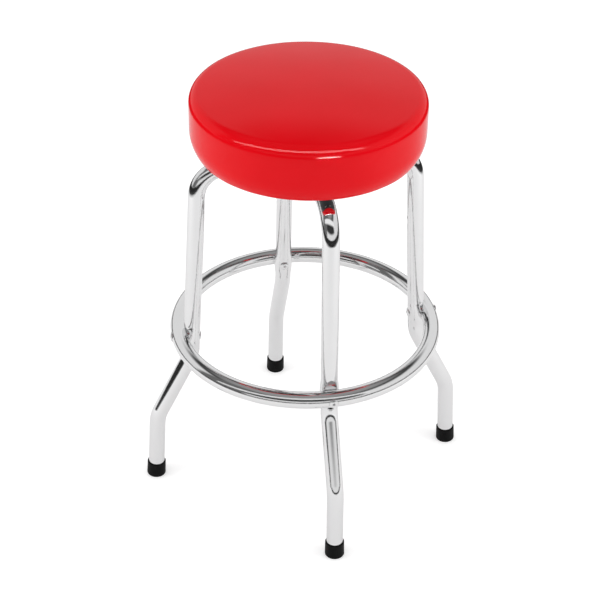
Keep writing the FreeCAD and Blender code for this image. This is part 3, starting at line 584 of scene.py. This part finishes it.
def staple_points(index, path):
    """Four points of a staple's flat wire at each point of its path."""
    angle = staple_angle(index)
    slant = angle + STAPLE_SLANT * noise.noise(Vector((index * 2.3, 0.7, 1.9)))
    sideways = outward_way(slant + math.pi / 2)
    depth = sideways.cross(upward(1))
    crown = SEAT_BOTTOM - CLOTH_SHEET - STAPLE_SINK
    middle = outward_way(angle) * STAPLE_RAD + upward(crown)
    half_wire = STAPLE_WIRE / 2
    points = []
    for step, (aside, rise) in enumerate(path):
        before = Vector(path[max(0, step - 1)])
        after = Vector(path[min(len(path) - 1, step + 1)])
        along = (after - before).normalized()
        normal = sideways * -along.y + upward(along.x)
        place = middle + sideways * aside + upward(rise)
        for wide, thick in ((-1, -1), (1, -1), (1, 1), (-1, 1)):
            points.append(place + depth * half_wire * wide
                          + normal * half_wire * STAPLE_FLATNESS * thick)
    return points


def make_staples():
    """Flat wire staples whose crowns lie on the cloth and whose legs go up into the board."""
    half = STAPLE_LENGTH / 2
    path = [(-half, STAPLE_LEG), (-half, STAPLE_BEND), (STAPLE_BEND - half, 0),
            (half - STAPLE_BEND, 0), (half, STAPLE_BEND), (half, STAPLE_LEG)]
    vertices, faces = [], []
    for index in range(STAPLE_COUNT):
        start = len(vertices)
        vertices += staple_points(index, path)
        for step in range(len(path) - 1):
            near = start + step * 4
            far = near + 4
            for corner in range(4):
                following = (corner + 1) % 4
                faces.append((near + corner, near + following, far + following, far + corner))
        last = start + (len(path) - 1) * 4
        faces.append((start + 3, start + 2, start + 1, start))
        faces.append((last, last + 1, last + 2, last + 3))
    staples = mesh_piece("dust_cover_staples", vertices, faces, smooth=False)
    bevel = staples.modifiers.new("edges", "BEVEL")
    bevel.width = STAPLE_EDGE
    bevel.segments = 2
    staples.data.materials.append(materials["zinc"])
    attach(staples, "seat")


cover = make_cover()
make_foam()
make_dust_cover()
make_staples()


# Light: a plain light from all round, a large lamp at each side for matt surfaces, the studio
# that reflections show, and two lamps for the highlights on the vinyl

WORLD_LEVEL = 0.86
LAMP_LEVEL = 3.0
LAMP_SIZE = (1.2, 1.6)
LAMP_DISTANCE = 2.6
LAMP_ELEVATION = math.radians(12)
LAMP_SPREAD = math.radians(75)
LAMP_TARGET = upward(0.5)

# The highlights' lamps stand in front of the rim. Their sides and heights, seen from there, are
# shares of the distance.
SHINE_DISTANCE = 1.5
SHINE_HEIGHT = SEAT_TOP - 0.02
LONG_SHINE = {"azimuth": AZIMUTH, "sides": (-3.2, 1.5), "heights": (0.76, 1.5), "level": 11.0}
SHORT_SHINE = {"azimuth": AZIMUTH + math.radians(18), "sides": (-0.17, 0.17),
               "heights": (-0.3, -0.14), "level": 75.0}


def area_lamp(name, place, aim, size, level):
    """A rectangular lamp that the camera doesn't see, as bright as its level all over."""
    data = bpy.data.lights.new(name, "AREA")
    data.shape = "RECTANGLE"
    data.size, data.size_y = size
    data.energy = level * math.pi * data.size * data.size_y
    lamp = bpy.data.objects.new(name, data)
    facing = aim.to_track_quat("-Z", "Y").to_matrix().to_4x4()
    lamp.matrix_world = Matrix.Translation(place) @ facing
    lamp.visible_camera = False
    scene.collection.objects.link(lamp)
    return lamp


def make_side_lamp(name, azimuth):
    """A large soft lamp that only matt surfaces see."""
    place = LAMP_TARGET + direction(azimuth, LAMP_ELEVATION) * LAMP_DISTANCE
    lamp = area_lamp(name, place, LAMP_TARGET - place, LAMP_SIZE, LAMP_LEVEL)
    lamp.visible_glossy = False


def make_shine(name, azimuth, sides, heights, level):
    """A lamp that only shows as a highlight on the vinyl."""
    ahead, aside = direction(azimuth, 0), direction(azimuth + math.pi / 2, 0)
    place = upward(SHINE_HEIGHT + SHINE_DISTANCE * sum(heights) / 2)
    place += ahead * (SEAT_RAD + SHINE_DISTANCE) + aside * SHINE_DISTANCE * sum(sides) / 2
    size = [SHINE_DISTANCE * (end - start) for start, end in (sides, heights)]
    lamp = area_lamp(name, place, -ahead, size, level)
    lamp.visible_diffuse = False
    receivers = bpy.data.collections.new(name + "_receivers")
    receivers.objects.link(cover)
    lamp.light_linking.receiver_collection = receivers


def smooth_step(tree, value, start, end, low=0.0, high=1.0):
    """Goes smoothly from low to high while the value goes from start to end."""
    return map_value(tree, value, low, high, start, end, interpolation_type="SMOOTHSTEP")


def blend_level(tree, level, share, other):
    """Blends a level towards another one by a share."""
    inputs = {"Factor": share, "A": level, "B": other}
    return add_node(tree, "Mix", inputs, data_type="FLOAT").outputs["Result"]


# What reflections show, by the camera's azimuth: each patch is its middle's azimuth and
# elevation, its half width and height and its soft edge in degrees, and then its level
SKY_PATCHES = (
    (-68, 28, 22, 34, 5, 0.15),
    (0, 31, 48, 18, 4, 0.04),
)
WALL_LEVEL, WALL_TOP = 0.8, math.sin(math.radians(36))
CEILING_LEVEL, CEILING = 0.05, math.sin(math.radians(48))
ZENITH_LEVEL, ZENITH = 0.3, math.sin(math.radians(66))
STRIP_LEVEL = 0.95
STRIP_SIDES = (-3.2, 1.5)
STRIP_HEIGHTS = (0.85, 1.5)
STRIP_SOFT = 0.12
AHEAD_LEAST = 0.001


def sky_patch(tree, heading, height, azimuth, elevation, half_width, half_height, soft):
    """1 inside a patch of the sky, given in degrees, and 0 outside it."""
    aim = direction(math.radians(azimuth) + AZIMUTH, 0)
    across = vector_node(tree, "DOT_PRODUCT", heading, aim)["Value"]
    inner = math.cos(math.radians(max(0, half_width - soft)))
    outer = math.cos(math.radians(half_width + soft))
    inside = smooth_step(tree, across, outer, inner)
    for way in (-1, 1):
        edge = elevation + half_height * way
        begin, end = (math.sin(math.radians(edge + soft * way * side)) for side in (1, -1))
        inside = math_node(tree, "MULTIPLY", inside, smooth_step(tree, height, begin, end))
    return inside


def strip_light(tree, way):
    """1 inside a straight strip that hangs from left to right in front of the stool."""
    ahead, aside = direction(AZIMUTH, 0), direction(AZIMUTH + math.pi / 2, 0)
    front = vector_node(tree, "DOT_PRODUCT", way, ahead)["Value"]
    front = math_node(tree, "MAXIMUM", front, AHEAD_LEAST)
    inside = None
    for axis, (start, end) in ((aside, STRIP_SIDES), (upward(1), STRIP_HEIGHTS)):
        along = vector_node(tree, "DOT_PRODUCT", way, axis)["Value"]
        place = math_node(tree, "DIVIDE", along, front)
        for edge, soft in ((start, STRIP_SOFT), (end, -STRIP_SOFT)):
            share = smooth_step(tree, place, edge - soft, edge + soft)
            inside = math_node(tree, "MULTIPLY", inside, share) if inside else share
    return inside


def make_world():
    """White to the camera, plain light on matt surfaces, and a studio in reflections."""
    world = bpy.data.worlds.new("studio")
    scene.world = world
    world.use_nodes = True
    tree = world.node_tree
    background = tree.nodes["Background"]
    path = add_node(tree, "LightPath")
    way = add_node(tree, "TexCoord").outputs["Generated"]
    height = add_node(tree, "SeparateXYZ", {"Vector": way}).outputs["Z"]
    level_way = vector_node(tree, "MULTIPLY", way, (1, 1, 0))[0]
    heading = vector_node(tree, "NORMALIZE", level_way)[0]
    studio = smooth_step(tree, height, WALL_TOP, CEILING, WALL_LEVEL, CEILING_LEVEL)
    studio = blend_level(tree, studio, smooth_step(tree, height, CEILING, ZENITH), ZENITH_LEVEL)
    for *place, level in SKY_PATCHES:
        studio = blend_level(tree, studio, sky_patch(tree, heading, height, *place), level)
    studio = blend_level(tree, studio, strip_light(tree, way), STRIP_LEVEL)
    camera, glossy = path.outputs["Is Camera Ray"], path.outputs["Is Glossy Ray"]
    seen = math_node(tree, "ADD", math_node(tree, "MULTIPLY", glossy, studio), camera)
    matt = math_node(tree, "SUBTRACT", 1.0, math_node(tree, "ADD", glossy, camera))
    plain = math_node(tree, "MULTIPLY", matt, WORLD_LEVEL)
    tree.links.new(math_node(tree, "ADD", seen, plain), background.inputs["Strength"])
    background.inputs["Color"].default_value = (1, 1, 1, 1)


FLOOR_HALF = 8.0
FLOOR_LIT_RAD = 1.5
FLOOR_DARK_RAD = 1.9
FLOOR_LIFT = 0.3
FLOOR_PALE = (0.9, 0.9, 0.9)
# Colour of the painted shade on the floor beyond the lit radius, which only reflections show
FLOOR_PAINTED_SHADE = (0.03, 0.03, 0.03)


def make_floor():
    """A pale floor, lifted to white for the camera, with painted shade that makes it dark far out
    in reflections.
    It can't be seen from below, so that a camera there sees the underside of the stool."""
    floor = mesh_piece("floor", [
        (-FLOOR_HALF, -FLOOR_HALF, 0), (FLOOR_HALF, -FLOOR_HALF, 0),
        (FLOOR_HALF, FLOOR_HALF, 0), (-FLOOR_HALF, FLOOR_HALF, 0),
    ], [(0, 1, 2, 3)], smooth=False)
    material, tree, shader = new_material(
        "floor", Roughness=0.9, Specular_IOR_Level=0.0, Emission_Color=(1, 1, 1, 1))
    path = add_node(tree, "LightPath").outputs
    reach = vector_node(tree, "LENGTH", places(tree))["Value"]
    # Painted shade: in reflections the floor turns dark beyond the lit radius, in place of unlit
    # floor far out
    far = map_value(tree, reach, 0, 1, start=FLOOR_LIT_RAD, end=FLOOR_DARK_RAD)
    painted_shade_far = math_node(tree, "MULTIPLY", far, path["Is Glossy Ray"])
    glow = math_node(tree, "MULTIPLY", path["Is Camera Ray"], FLOOR_LIFT)
    color = blend_colors(tree, painted_shade_far, FLOOR_PALE, FLOOR_PAINTED_SHADE)
    link_looks(tree, shader, Base_Color=color, Emission_Strength=glow)
    behind = add_node(tree, "NewGeometry").outputs["Backfacing"]
    see_through = math_node(tree, "MULTIPLY", behind, path["Is Camera Ray"])
    clear = add_node(tree, "BsdfTransparent").outputs[0]
    mix = add_node(tree, "MixShader", {0: see_through, 1: shader.outputs[0], 2: clear})
    tree.links.new(mix.outputs[0], tree.nodes["Material Output"].inputs["Surface"])
    floor.data.materials.append(material)


make_side_lamp("left_lamp", AZIMUTH - LAMP_SPREAD)
make_side_lamp("right_lamp", AZIMUTH + LAMP_SPREAD)
make_shine("long_shine", **LONG_SHINE)
make_shine("short_shine", **SHORT_SHINE)
make_world()
make_floor()
